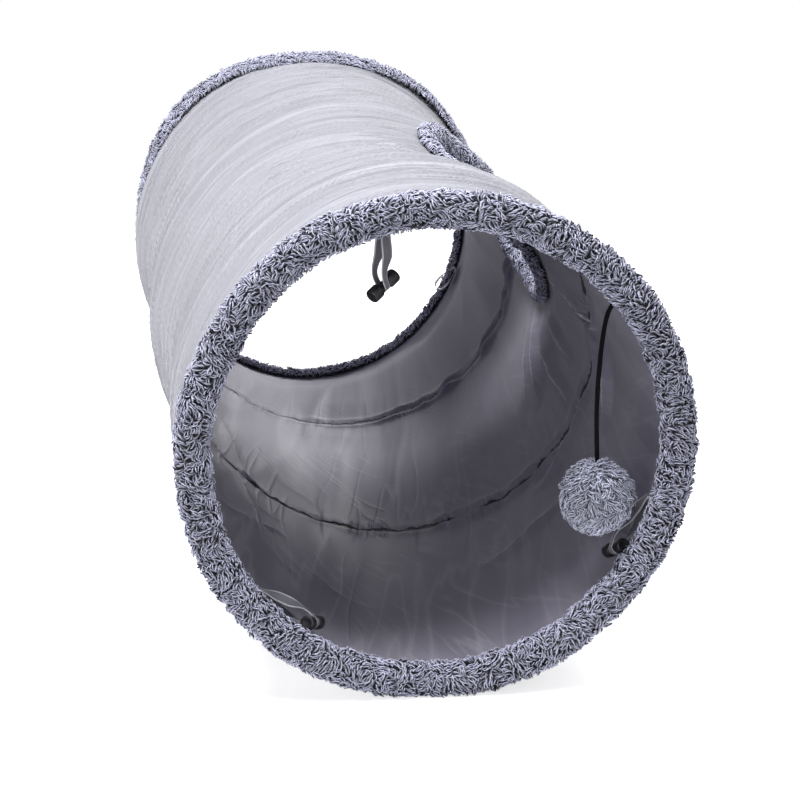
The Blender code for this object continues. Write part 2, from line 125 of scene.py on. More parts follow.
class Look:
    """A material. What is the same all over a surface is a constant of its shader."""

    def __init__(self, name, **constants):
        self.material = bpy.data.materials.new(name)
        self.material.use_nodes = True
        self.tree = self.material.node_tree
        self.shader = self.tree.nodes["Principled BSDF"]
        for name, value in constants.items():
            self.shader.inputs[name.replace("_", " ")].default_value = value

    def node(self, kind, settings, inputs, output=0):
        made = self.tree.nodes.new("ShaderNode" + kind)
        for name, value in settings.items():
            setattr(made, name, value)
        for name, value in inputs.items():
            self.feed(made.inputs[name], value)
        return Wire(self, made.outputs[output])

    def feed(self, socket, value):
        if isinstance(value, Wire):
            self.tree.links.new(value.socket, socket)
        else:
            socket.default_value = value

    def stored(self, name, output="Fac"):
        return self.node("Attribute", {"attribute_name": name}, {}, output)

    def place(self):
        return self.node("TexCoord", {}, {}, "Object")

    def scaled(self, vector, scale):
        return self.node("VectorMath", {"operation": "MULTIPLY"}, {0: vector, 1: scale})

    def part(self, vector, axis):
        return self.node("SeparateXYZ", {}, {0: vector}, axis)

    def noise(self, vector, scale, detail=2):
        return self.node("TexNoise", {}, {"Vector": vector, "Scale": scale, "Detail": detail})

    def crest(self, vector, width):
        """Thin lines along the middle level of a noise, sharp on top with soft flanks."""
        off = (self.noise(vector, 1) - 0.5).math("ABSOLUTE")
        return (1 - (off / width).math("MINIMUM", 1.0)) ** 2.0

    def mix(self, share, first, second):
        inputs = {0: share}
        for index, colour in ((6, first), (7, second)):
            inputs[index] = colour if isinstance(colour, Wire) else (*colour, 1)
        return self.node("Mix", {"data_type": "RGBA"}, inputs, 2)

    def finish(self, colour, roughness=None, height=None, depth=0.0005):
        self.feed(self.shader.inputs["Base Color"], colour)
        if roughness is not None:
            self.feed(self.shader.inputs["Roughness"], roughness)
        if height is not None:
            bump = self.node("Bump", {}, {"Height": height, "Distance": depth, "Strength": 1.0}, "Normal")
            self.feed(self.shader.inputs["Normal"], bump)
        return self.material


def unit(vectors):
    return vectors / np.linalg.norm(vectors, axis=-1, keepdims=True)


def make_piece(name, points, faces, material, stored=()):
    """A smooth mesh object, with values stored at its points for its material."""
    mesh = bpy.data.meshes.new(name)
    mesh.from_pydata(points.tolist(), [], [list(map(int, face)) for face in faces])
    for label, values in dict(stored).items():
        kind = "FLOAT" if values.ndim == 1 else "FLOAT_VECTOR"
        key = "value" if values.ndim == 1 else "vector"
        mesh.attributes.new(label, kind, "POINT").data.foreach_set(key, values.astype(np.float32).ravel())
    mesh.shade_smooth()
    mesh.materials.append(material)
    piece = bpy.data.objects.new(name, mesh)
    bpy.context.scene.collection.objects.link(piece)
    return piece


def skinned(rings):
    """The points of closed rings that follow one another, and the faces between them with both ends closed."""
    number = np.arange(rings.shape[0] * rings.shape[1]).reshape(rings.shape[:2])
    after = np.roll(number, -1, axis=1)
    faces = np.stack([number[:-1], after[:-1], after[1:], number[1:]], -1).reshape(-1, 4).tolist()
    return rings.reshape(-1, 3), faces + [number[0, ::-1].tolist(), number[-1].tolist()]


def swept(line, sides, radius):
    """The points and faces of a round wire along a line."""
    ways = unit(np.gradient(line, axis=0))
    first = unit(np.cross(ways, (0, 1, 0)))
    second = np.cross(ways, first)
    turns = np.arange(sides) * 2 * math.pi / sides
    ring = np.cos(turns)[None, :, None] * first[:, None] + np.sin(turns)[None, :, None] * second[:, None]
    return skinned(line[:, None] + ring * radius)


def smooth_line(points, steps):
    """A smooth line through points, with that many parts between each two."""
    points = np.array(points)
    ends = np.vstack([2 * points[0] - points[1], points, 2 * points[-1] - points[-2]])
    line = [points[0]]
    for before, start, end, after in zip(ends, ends[1:], ends[2:], ends[3:]):
        for step in range(1, steps + 1):
            share = step / steps
            line.append(
                start
                + share * (end - before) / 2
                + share**2 * (before - 2.5 * start + 2 * end - after / 2)
                + share**3 * (1.5 * start - before / 2 - 1.5 * end + after / 2)
            )
    return np.array(line)


def run_along(line):
    """How far each point of a line lies along it."""
    return np.concatenate([[0], np.cumsum(np.linalg.norm(np.diff(line, axis=0), axis=1))])


cord_line = smooth_line(cord_bends, 12) + np.array(pivots["cord"])
points, faces = swept(cord_line, cord_sides, cord_radius)
cord_run = run_along(cord_line)
cord_round = np.tile(np.arange(cord_sides) * 2 * math.pi / cord_sides, len(cord_line))
braid = np.stack([np.cos(cord_round), np.sin(cord_round), np.repeat(cord_run, cord_sides)], 1)
look = Look("elastic_cord", Roughness=0.5, Specular_IOR_Level=0.06)
yarn = look.part(look.stored("braid", "Vector"), "Z") * 2600
turn = look.part(look.stored("braid", "Vector"), "X").math("ARCCOSINE") * 5
over = (yarn + turn).math("SINE") * (yarn - turn).math("SINE")
black = look.mix(over.between(-0.6, 0.8), (0.002, 0.002, 0.003), (0.012, 0.012, 0.015))
cord = make_piece("pompom_cord_braid", points, faces, look.finish(black, None, over, 0.0002), {"braid": braid})
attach(cord, "cord")
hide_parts("pompom_cord")

# Plush binding round each mouth: a band of curly pile folded over the wire hoop and sewn to both cloths. Its
# backing is near black, painted shade for the depths of the pile. Its strands are pale at their tips and top edges as
# a painted highlight, dark towards their roots and on their lower edges as painted shade, and fall together in small
# locks.
half_length = 0.4275
axis_height = 0.1633
binding_middle = 0.1545
binding_half_thick = 0.0088
binding_half_wide = 0.0094
near_skirt = 0.012
far_skirt = 0.040
cloth_slot = 0.0052  # half of the slot in which the cloths are sewn
slot_depth = -0.006
above_floor = 0.0002
strand_shares = np.array((0, 0.25, 0.5, 0.78, 1))  # of a strand's length, where its rings of points stand
strand_sizes = (0.8, 1, 1, 0.8, 0)
strand_sides = 3
strand_points = 4 * strand_sides + 1
binding_curl = {"length": 0.0062, "width": 0.0016, "rise": 0.0038, "bend": 2.8}
near_mouth = np.array((0, -half_length, axis_height))
far_mouth = np.array((0, half_length, axis_height))


def wrapped(angle):
    """The same angle, between half a turn back and half a turn on."""
    return (angle + math.pi) % (2 * math.pi) - math.pi


def smooth(values, start, end):
    """0 at start, 1 at end and smooth in between."""
    share = np.clip((values - start) / (end - start), 0, 1)
    return share * share * (3 - 2 * share)


def eased(turns, stops):
    """A value round the mouth that runs smoothly from one stop in degrees to the next."""
    degrees = np.degrees(turns) % 360
    total = np.zeros_like(degrees)
    for (start, low), (end, high) in zip(stops, stops[1:]):
        inside = (degrees >= start) & (degrees <= end)
        total = np.where(inside, low + (high - low) * smooth(degrees, start, end), total)
    return total / 1000


# How far each mouth has settled from a true circle, in millimetres by degrees round it.
near_stops = ((0, 1.4), (30, 1.6), (90, 0), (150, 0.5), (185, 2), (222, 2.8), (268, 0), (310, -1.4), (360, 1.4))
far_stops = ((0, 2), (42, 6), (90, -1), (132, 4), (182, -5), (225, -2), (268, 0), (320, 0), (360, 2))


def binding_section(mouth, way, stops):
    """A place on a binding from its turn round the mouth and its two ways across the section."""

    def at(turns, across, along):
        swell = np.array([noise.noise((3 * math.cos(t), 3 * math.sin(t), way)) for t in turns]) * 0.0012
        radius = binding_middle + across + swell + eased(turns, stops)
        return mouth + np.stack([radius * np.cos(turns), way * along, radius * np.sin(turns)], -1)

    return at


def reach_along(rounds, wide, skirt):
    """The section's half width: its outer side towards the tunnel can reach further, as a skirt over the cloth."""
    return np.where(np.sin(rounds) * np.cos(rounds) * (rounds < math.pi) > 0, skirt, wide)


def oval(at, thick, wide, skirt):
    """A place on the backing's oval from its turn round the section, and its height over the backing."""

    def place(turns, rounds, lift):
        half = reach_along(rounds, wide, skirt)
        return at(turns, (thick + lift) * np.sin(rounds), (half + lift) * np.cos(rounds))

    return place


def pile_look(name, root, tip):
    look = Look(name, Roughness=0.85, Sheen_Weight=0.3, Sheen_Roughness=0.4)
    # shade is painted light: dark at a strand's root and on its two lower edges as painted shade, pale on its top
    # edge towards its tip as a painted highlight.
    shade = look.stored("tip").between(0.10, 0.72)
    hue = look.mix(look.stored("strand"), (0.60, 0.60, 0.64), (1.22, 1.22, 1.26))
    strand = look.mix(shade, root, tip)
    return look.finish(look.node("VectorMath", {"operation": "MULTIPLY"}, {0: strand, 1: hue}))


def strand_faces(count):
    """The faces of that many strands, each of four rings of points and a tip."""
    quads = []
    for row in range(0, 3 * strand_sides, strand_sides):
        for corner in range(strand_sides):
            after = (corner + 1) % strand_sides
            quads.append((row + corner, row + after, row + strand_sides + after, row + strand_sides + corner))
    caps = ((9, 10, 12), (10, 11, 12), (11, 9, 12))
    starts = np.arange(count)[:, None, None] * strand_points
    return (starts + np.array(quads)).reshape(-1, 4).tolist() + (starts + np.array(caps)).reshape(-1, 3).tolist()


def pile(name, place, turns, rounds, curl, seed, material, comb=None, lowest=None):
    """Curls of pile over a surface, turns and rounds being its two grids of places. The curls of one lock lie the
    same way and bend together, and each lies with its middle over its own place, so no bare patch opens. Comb gives
    the heading that the locks keep to, and how closely. Nothing goes below lowest."""
    draw = np.random.default_rng(seed)
    turn_step = turns[1] - turns[0]
    grid = np.array([(t, r) for t in turns for r in rounds])
    grid += draw.uniform(-0.45, 0.45, grid.shape) * (turn_step, rounds[1] - rounds[0])
    count = len(grid)
    root = place(grid[:, 0], grid[:, 1], -0.0005)
    up = unit(place(grid[:, 0], grid[:, 1], 0.004) - root)
    side = unit(place(grid[:, 0] + turn_step / 4, grid[:, 1], 0) - place(grid[:, 0] - turn_step / 4, grid[:, 1], 0))
    cross = np.cross(up, side)

    centres = draw.choice(count, count // 7, replace=False)
    tree = kdtree.KDTree(len(centres))
    for index in centres:
        tree.insert(root[index], int(index))
    tree.balance()
    lock = np.array([tree.find(point)[1] for point in root])

    heading = draw.uniform(-math.pi, math.pi, count)
    if comb is not None:
        lie, kept = comb(grid[:, 0])
        heading = lie + heading * (1 - kept)
    heading = heading[lock] + draw.normal(0, 0.22, count)
    turning = (draw.choice((-1, 1), count) * draw.uniform(0.8, curl["bend"], count))[lock]
    reach = curl["length"] * draw.uniform(0.8, 1.2, count)
    high = curl["rise"] * (draw.uniform(0.6, 1.25, count)[lock] + draw.uniform(-0.2, 0.2, count))
    ways = heading[:, None] + turning[:, None] * strand_shares
    steps = reach[:, None] * np.diff(strand_shares, prepend=0)
    run = np.cumsum(np.stack([np.cos(ways), np.sin(ways)], -1) * steps[..., None], axis=1)
    run -= run[:, 2:3]

    rows = []
    for step, (share, size) in enumerate(zip(strand_shares, strand_sizes)):
        climb = high * math.sin(min(share * 1.6, 2.2))
        middle = root + run[:, step, :1] * side + run[:, step, 1:] * cross + up * climb[:, None]
        ahead = np.cos(ways[:, step, None]) * side + np.sin(ways[:, step, None]) * cross
        first = unit(np.cross(ahead, up))
        second = unit(up - ahead * 0.3 * (1 - share))
        for corner in range(strand_sides if size else 1):
            turn = 2 * math.pi * (corner + 0.75) / strand_sides
            out = (size * curl["width"] / 2 * draw.uniform(0.85, 1.15, count))[:, None]
            rows.append(middle + out * (math.cos(turn) * first + math.sin(turn) * second))
    points = np.stack(rows, 1)
    if lowest is not None:
        points[..., 2] = np.maximum(points[..., 2], lowest)

    # Painted light: each strand's top edge is pale as a painted highlight, while its two lower edges and its root end
    # are dark as painted shade.
    crown = np.array((1, 0, 0) * 4 + (0.9,))  # of a strand's three edges, the one on top is pale
    painted_light_levels = np.repeat(strand_shares, (3, 3, 3, 3, 1)) ** 0.6 * (0.03 + 0.97 * crown)
    strands = np.repeat(draw.uniform(0, 1, count), strand_points)
    stored = {"tip": np.tile(painted_light_levels, count), "strand": strands}
    return make_piece(name, points.reshape(-1, 3), strand_faces(count), material, stored)


def band(name, at, thick, wide, skirt, turns, slot, depth, material):
    """The backing under a pile: a C section round a mouth or the peephole, with its slot for the cloths."""
    first = math.asin(slot / thick)
    rounds = np.linspace(first, 2 * math.pi - first, 34)
    across = np.append(thick * np.sin(rounds), (-slot, slot))
    along = np.append(reach_along(rounds, wide, skirt) * np.cos(rounds), (depth, depth))
    rows = [at(turns, np.full(len(turns), a), np.full(len(turns), b)) for a, b in zip(across, along)]
    points = np.stack(rows)
    count, around = points.shape[:2]
    number = np.arange(count * around).reshape(count, around)
    after = np.roll(number, -1, axis=0)
    faces = np.stack([number, after, np.roll(after, -1, axis=1), np.roll(number, -1, axis=1)], -1).reshape(-1, 4)
    points[..., 2] = np.maximum(points[..., 2], above_floor)
    return make_piece(name, points.reshape(-1, 3), faces, material)


def combed(turns):
    """A binding's pile lies along it on most of its right-hand side."""
    return 0, 0.7 * smooth(np.abs(wrapped(turns) - 0.2), 1.5, 0.7)


# The backing's near-black colour is painted shade for the depths between the strands; its knit is a random tone and a
# bump.
look = Look("plush_backing", Roughness=0.95)
knit = look.noise(look.place(), 900)
backing = look.finish(look.mix(knit, (0.02, 0.02, 0.03), (0.06, 0.06, 0.08)), None, knit, 0.0004)
binding_pile = pile_look("plush_pile", (0.010, 0.010, 0.018), (0.80, 0.81, 1.0))
turns = np.linspace(0, 2 * math.pi, 380, endpoint=False)
for side, mouth, way, stops, skirt in (
    ("near", near_mouth, 1, near_stops, near_skirt),
    ("far", far_mouth, -1, far_stops, far_skirt),
):
    at = binding_section(mouth, way, stops)
    section = (at, binding_half_thick, binding_half_wide, skirt)
    base = band(side + "_binding_backing", *section, turns[::3], cloth_slot, slot_depth, backing)
    place = oval(*section)
    pieces = [base]
    for part, (start, end) in enumerate(((33, 90), (90, 150), (150, 210), (210, 270), (270, 318))):
        count = 14 if side == "far" and part == 0 else 7  # the far binding's skirt takes twice as many
        rounds = np.linspace(math.radians(start), math.radians(end), count, endpoint=False)
        label = f"{side}_binding_pile_{part}"
        pieces.append(pile(label, place, turns, rounds, binding_curl, 11 + part, binding_pile, combed, above_floor))
    for piece in pieces:
        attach(piece, side + "_mouth")
    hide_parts(side + "_binding")

# Outer cloth and lining: two tubes with the coil and its tape between them. The outer one is brushed faux suede,
# stretched over the coil with long wrinkles round it. The lining is thin satin, gathered where it is sewn to the
# coil's tape and round the peephole, so it stands in folds between the turns.
tunnel_length = 2 * half_length
shell_mouth_radius = 0.1589
mouth_spacing = 0.0088
layer_spacing = 0.006
ridge_start = 0.0045  # where the cloths' first ridge over the coil begins, along the tunnel
ridge_pitch = 0.338
coil_start_angle = math.radians(-99)
peephole_angle = math.radians(36.5)
peephole_reach = 0.0845
peephole_along = 0.44
peephole_wall_radius = shell_mouth_radius - layer_spacing / 2


def mouth_share(along, reach):
    """0 at the mouths and 1 from reach inside them."""
    return smooth(np.minimum(along, tunnel_length - along), 0.014, reach)


def turn_share(angle, along):
    """How far a point lies from one turn of the coil to the next, from 0 to 1."""
    wire = coil_start_angle - 2 * math.pi * (along - ridge_start) / ridge_pitch
    return ((wire - angle) / (2 * math.pi)) % 1


def seam_distance(angle, along):
    """How far a point lies from the nearest ridge, along the tunnel, and the same with its side as a sign."""
    share = turn_share(angle, along)
    distance = np.minimum(share, 1 - share) * ridge_pitch
    return distance, np.where(share < 0.5, distance, -distance)


def from_peephole(angle, along):
    return np.hypot(wrapped(angle - peephole_angle) * peephole_wall_radius, along - peephole_along)


def settled(angle, along):
    """How far the resting wall has settled between the coil's turns: in above the peephole, out below it."""
    turned = wrapped(angle)
    near = np.exp(-((from_peephole(angle, along) / 0.14) ** 2)) * np.sin(math.pi * turn_share(angle, along)) ** 2
    mouths = eased(angle, near_stops) * smooth(along, 0.045, 0.02)
    mouths = mouths + eased(angle, far_stops) * smooth(along, tunnel_length - 0.045, tunnel_length - 0.02)
    beyond = np.exp(-(((along - 0.495) / 0.035) ** 2)) * smooth(turned, 0.1, 0.4) * smooth(turned, 1.15, 0.85)
    return mouths - 0.009 * beyond + near * (0.009 * smooth(turned, 0.35, 0.05) - 0.018 * smooth(turned, 0.25, 0.8))


def shell_radius(angle, along):
    between = np.sin(math.pi * turn_share(angle, along)) ** 2
    away = from_peephole(angle, along)
    sag = 0.005 * between + 0.0065 * np.exp(-((away / 0.13) ** 2))
    return shell_mouth_radius - sag * mouth_share(along, 0.075) + settled(angle, along)


def lining_radius(angle, along):
    share = mouth_share(along, 0.045)
    return shell_radius(angle, along) - mouth_spacing + (mouth_spacing - layer_spacing) * share


def read_noise(x, y, z):
    return np.array([noise.noise(point) for point in zip(x.ravel(), y.ravel(), z.ravel())]).reshape(x.shape)


def crests(x, y, z, width):
    """Thin crests where the noise crosses zero."""
    return np.exp(-np.abs(read_noise(x, y, z)) / width)


# The lining's long creases as they lie in the photo: half width in millimetres, height from 0 to 1, and places on the
# wall in degrees round and millimetres along.
crease_wall_radius = 0.15
creases = (
    (3.5, 0.9, ((-137, 505), (-134, 467), (-131.5, 413), (-129, 380), (-124.6, 368), (-115, 360))),
    (2.2, 1.0, ((-138.4, 355), (-135.7, 300), (-134.4, 256), (-134, 200), (-130.7, 174), (-127, 152), (-121, 130))),
    (1.8, 0.6, ((-136.8, 340), (-133.4, 308), (-130, 295))),
    (2.0, 0.8, ((-147, 275), (-141, 264), (-137.8, 243), (-134.5, 225), (-131.7, 208), (-128.6, 180))),
    (2.5, 0.6, ((-151, 160), (-144, 172), (-137, 200))),
    (2.0, 0.8, ((-131.6, 220), (-125.4, 235), (-122, 236))),
    (3.0, 0.5, ((-133, 273), (-127, 280), (-119, 290))),
    (4.5, 0.35, ((-127.4, 517), (-121.8, 468), (-113, 420))),
    (4.5, 0.35, ((-126, 470), (-118.3, 428), (-106, 395))),
    (2.5, 0.5, ((-120, 165), (-112, 140), (-100, 125))),
    (3.0, 1.0, ((17.5, 350), (16, 310), (15.5, 281), (13.5, 258), (11, 243), (10.8, 225), (12.5, 198))),
    (2.8, 0.9, ((13, 182), (5.4, 171), (-2, 168), (-12, 172))),
    (3.0, 0.7, ((-3, 450), (-9, 425), (-14, 412), (-24, 365))),
    (2.6, 0.8, ((-2, 420), (-9, 385), (-13, 345), (-17, 300))),
    (2.4, 0.6, ((2, 400), (-1, 350), (-5, 310))),
    (4.0, 0.5, ((-5.8, 467), (-16, 439), (-28, 395))),
    (3.0, 0.5, ((-20, 262), (-29, 252), (-40, 250))),
    (3.0, 0.4, ((-40, 190), (-52, 178), (-66, 172))),
)


def crease_marks(angle, along):
    """The signed distance to the nearest crease, and how high it stands there."""
    across = wrapped(angle) * crease_wall_radius
    nearest = np.full(angle.shape, 4.0)
    off = np.zeros(angle.shape)
    height = np.zeros(angle.shape)
    for wide, high, places in creases:
        spots = np.array([(math.radians(turn) * crease_wall_radius, place / 1000) for turn, place in places])
        parts = np.diff(spots, axis=0)
        lengths = np.hypot(*parts.T)
        done = 0
        for spot, part, length in zip(spots, parts, lengths):
            u = across - spot[0]
            v = along - spot[1]
            t = np.clip((u * part[0] + v * part[1]) / length**2, 0, 1)
            away = np.hypot(u - t * part[0], v - t * part[1])
            ends = np.sin(math.pi * (0.04 + 0.92 * (done + t * length) / lengths.sum())) ** 0.6
            closer = away / (wide / 1000) < nearest
            nearest = np.where(closer, away / (wide / 1000), nearest)
            off = np.where(closer, away * np.sign(u * part[1] - v * part[0]), off)
            height = np.where(closer, high * ends, height)
            done += length
    return off, height * smooth(nearest, 4, 2)


fold_twist = -1.1  # radians a metre, the way that the lining's folds wind
cross_twist = 1.9


def wound(angle, along):
    """A place on a cylinder, for noise that runs round it without a join."""
    return np.stack([np.cos(angle), np.sin(angle), along], -1)


def tube_piece(name, radius_at, around, rows, material, inward):
    """A tube of cloth between the mouths with the peephole cut out of it."""
    start = 0.0005
    angles = np.linspace(0, 2 * math.pi, around, endpoint=False)
    alongs = np.linspace(start, tunnel_length - start, rows)
    angle, along = np.meshgrid(angles, alongs, indexing="ij")
    radius = radius_at(angle, along)
    points = np.stack([radius * np.cos(angle), along - half_length, axis_height + radius * np.sin(angle)], -1)
    away = from_peephole(angle, along)
    number = np.arange(around * rows).reshape(around, rows)
    after = np.roll(number, -1, axis=0)
    quads = np.stack([number[:, :-1], number[:, 1:], after[:, 1:], after[:, :-1]], -1).reshape(-1, 4)
    if inward:
        quads = quads[:, ::-1]
    quads = quads[away.ravel()[quads].mean(1) > peephole_reach - 0.0007]
    used = np.unique(quads)
    renumber = np.full(around * rows, -1)
    renumber[used] = np.arange(len(used))
    bent = 0.3 * read_noise(1.6 * np.cos(angle), 1.6 * np.sin(angle), 6 * along + 50)
    seam, seam_side = seam_distance(angle, along)
    turned = wrapped(angle)
    crease, crease_height = crease_marks(angle, along)
    values = {
        "rest": points,
        "grain": wound(angle + 2 * math.pi * along / ridge_pitch + bent, along),
        "fold": wound(angle + fold_twist * along, along),
        "cross": wound(angle + cross_twist * along, along),
        "crease": crease,
        "crease_height": crease_height,
        "right": smooth(turned, -1.5, -0.8) * smooth(turned, 1.3, 0.7),
        "seam": seam,
        "side": seam_side,
        "join": np.abs(wrapped(angle + 1.75)) * shell_mouth_radius,
    }
    stored = {label: value.reshape(around * rows, *value.shape[2:])[used] for label, value in values.items()}
    return make_piece(name, points.reshape(-1, 3)[used], renumber[quads], material, stored)


def shell_shape(angle, along):
    """The outer cloth's radius, with its swell, its wrinkles and its ridge over the coil."""
    free = mouth_share(along, 0.05) * smooth(from_peephole(angle, along), 0.092, 0.125)
    out = (0.0055 + 0.002 * along / tunnel_length) * np.exp(-(((np.abs(wrapped(angle)) - math.pi) / 0.75) ** 2))
    warp = 0.12 * read_noise(2 * np.cos(angle), 2 * np.sin(angle), 7 * along)
    helix = angle + 2 * math.pi * along / ridge_pitch + warp
    x = np.cos(helix)
    z = np.sin(helix)
    broad = read_noise(2.2 * x, 2.2 * z, 6 * along) * 0.002
    ridge = np.exp(-((seam_distance(angle, along)[0] / 0.006) ** 2))
    wrinkles = 0.0016 * crests(5 * x, 5 * z, 5 * along, 0.09) + 0.0007 * crests(11 * x, 11 * z, 7 * along + 5, 0.12)
    swelling = broad + wrinkles - 0.0012 + 0.0014 * ridge
    return shell_radius(angle, along) + free * swelling + out * mouth_share(along, 0.06)


def loop_room(angle, along):
    """0 where a ribbon loop and its toggle swing over the wall, and 1 away from them."""
    room = 1
    for place, reach in ((103, 12), (-146, 15), (-27, 17)):
        apart = np.abs(wrapped(angle - math.radians(place)))
        beside = smooth(apart, math.radians(reach), math.radians(reach + 9))
        beyond = smooth(along, 0.062, 0.1) * smooth(tunnel_length - along, 0.048, 0.085)
        room = room * (beside + (1 - beside) * beyond)
    return room


def lining_shape(angle, along):
    """The lining's radius, with its drape, creases, folds and gathers, and a lip beside each seam."""
    seam, side = seam_distance(angle, along)
    free = mouth_share(along, 0.05) * smooth(from_peephole(angle, along), 0.092, 0.12)
    turned = wrapped(angle)
    right = smooth(turned, -1.5, -0.9) * smooth(turned, 0.5, 0.1)
    x = np.cos(angle + fold_twist * along)
    z = np.sin(angle + fold_twist * along)
    drape = 0.5 + read_noise(3.2 * x, 3.2 * z, 4 * along)
    crease, crease_height = crease_marks(angle, along)
    long = crease_height * np.exp(-((crease / 0.005) ** 2))
    folds = crests(3 * x, 3 * z, 3 * along + 3, 0.2)
    gathers = crests(19 * x, 19 * z, 8 * along + 7, 0.2)
    wave = 0.003 * read_noise(9 * x, 9 * z, 3 * along + 30)
    lip = np.exp(-(((side - 0.010 + wave) / 0.0055) ** 2)) + 0.8 * np.exp(-(((side + 0.011 + wave) / 0.006) ** 2))
    lips = lip * np.clip(0.6 + 1.1 * read_noise(7 * x, 7 * z, 5 * along + 40), 0.1, 1.2)
    inward = (
        0.003 * drape * smooth(seam, 0.004, 0.07)
        + 0.0022 * long * smooth(seam, 0.001, 0.006)
        + 0.0085 * right * crease_height * np.exp(-np.abs(crease) / 0.013) * smooth(seam, 0.004, 0.02)
        + 0.0015 * folds * smooth(seam, 0.002, 0.02)
        + 0.0014 * gathers * np.exp(-seam / 0.03) * smooth(seam, 0.001, 0.006)
        + (0.0016 + 0.004 * right) * lips * smooth(seam, 0.0005, 0.004)
    )
    return lining_radius(angle, along) - free * inward * loop_room(angle, along)


def suede():
    """Brushed cloth, with a painted highlight along its wrinkles and where the coil lifts it, and painted shade in a
    band just beyond each ridge.
    """
    look = Look("suede_cloth", Roughness=0.9, Sheen_Weight=0.3, Sheen_Roughness=0.35)
    grain = look.stored("grain", "Vector")
    streak = look.noise(look.scaled(grain, (30, 30, 16)), 1)
    fine = look.noise(look.scaled(grain, (85, 85, 42)), 1)
    crease = look.crest(look.scaled(grain, (13, 13, 9)), 0.05) * 0.7
    crease = crease + look.crest(look.scaled(grain, (27, 27, 15)), 0.05) * 0.4
    cloud = look.noise(look.scaled(grain, (3.5, 3.5, 5)), 1)
    nap = look.noise(look.stored("rest", "Vector"), 1100)
    seam = look.stored("seam")
    # ridge marks a painted highlight over the coil's ridge, and below a band of painted shade just beyond it.
    ridge = 1 - seam.between(0.003, 0.012)
    below = seam.between(0.004, 0.012) * (1 - seam.between(0.014, 0.06))
    join = 1 - (look.stored("join") - 0.0012).math("ABSOLUTE").between(0.0002, 0.0009)
    tone = look.mix(streak.between(0.35, 0.65), (0.43, 0.43, 0.495), (0.545, 0.545, 0.62))
    # painted shade just beyond each ridge, mixed with random darker clouds
    tone = look.mix(below * 0.45 + cloud.between(0.45, 0.65) * 0.4, tone, (0.39, 0.39, 0.46))
    # painted highlight on the wrinkles' crests and over the ridge, mixed with random pale flecks
    tone = look.mix(crease * 0.3 + ridge * 0.35 + fine.between(0.5, 0.7) * 0.3, tone, (0.66, 0.66, 0.74))
    tone = look.mix(nap.between(0.5, 0.8) * 0.14 + join * 0.5, tone, (0.36, 0.36, 0.45))
    height = streak * 0.5 + crease * 0.8 + fine * 0.3 + nap * 0.08 - join * 0.6
    return look.finish(tone, None, height, 0.0011)


def satin_lining():
    """Thin satin, with a painted highlight along its creases, painted shade in the grooves of its seams and dark
    stitching beside them, plainer towards the far mouth.
    """
    look = Look("lining_cloth", Roughness=0.65, Sheen_Weight=0.15, Specular_IOR_Level=0.3)
    fold = look.stored("fold", "Vector")
    cross = look.stored("cross", "Vector")
    seam = look.stored("seam")
    rear = look.part(fold, "Z").between(0.42, 0.58)
    weave = look.noise(look.stored("rest", "Vector"), 1600, 1)
    soft = look.noise(look.scaled(fold, (5, 5, 4)), 1)
    waver = (look.noise(look.scaled(fold, (12, 12, 5)), 1, 3) - 0.5) * 0.016
    line = (look.stored("side") + waver).math("ABSOLUTE")
    right = look.stored("right")
    stray = (look.noise(look.scaled(cross, (14, 14, 9)), 1) - 0.5) * 0.006
    long = (1 - ((look.stored("crease") + stray).math("ABSOLUTE") / 0.0022).math("MINIMUM", 1.0)) ** 2.0
    long = long * look.stored("crease_height")
    patch = look.noise(look.scaled(fold, (3, 3, 7)), 1, 1).between(0.4, 0.62)
    thin = look.crest(look.scaled(fold, (5, 5, 3)), 0.05) * 0.4
    thin = (thin + look.crest(look.scaled(cross, (7, 7, 6)), 0.05) * patch * 0.5) * (1 - right * 0.6)
    pucker = look.crest(look.scaled(fold, (20, 20, 9)), 0.16) * patch
    near_seam = 1 - seam.between(0.01, 0.11)
    by_seam = 1 - seam.between(0.006, 0.03)
    stitch = (1 - (line - 0.0135).math("ABSOLUTE").between(0.0002, 0.0009)) * (0.15 + rear * 0.5)
    # The groove along each seam is a dent and painted shade between its gathered lips.
    seam_groove_and_shade = (1 - line.between(0.0016, 0.0046)) * (1 - rear * 0.85) * (1 - seam.between(0.01, 0.02))
    tone = look.mix(soft.between(0.3, 0.7), (0.275, 0.262, 0.335), (0.335, 0.32, 0.40))
    # painted highlight along the long creases and fine crests, fading towards the far mouth
    tone = look.mix((long * 1.1 + thin * 0.5) * (1 - rear), tone, (0.80, 0.79, 0.88))
    tone = look.mix(stitch * 0.4 + seam_groove_and_shade * 0.9, tone, (0.02, 0.02, 0.03))
    ruck = 1 - rear * 0.8
    ruck = ruck * (long * 0.2 + thin * (near_seam * 0.3 + 0.15) + pucker * by_seam * 0.5)
    height = weave * 0.03 + soft * 0.5 + ruck - seam_groove_and_shade
    return look.finish(tone, soft.between(0.3, 0.7) * 0.1 + 0.58, height, 0.005)


shell = tube_piece("outer_cloth_suede", shell_shape, 220, 440, suede(), False)
lining = tube_piece("lining_satin", lining_shape, 330, 300, satin_lining(), True)
for piece, node, slot, held in (
    (shell, "outer_cloth", "suede_cloth", "stretched"),
    (lining, "lining", "lining_cloth", "gathered"),
):
    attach(piece, "near_mouth")
    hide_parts(node)
    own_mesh(piece)

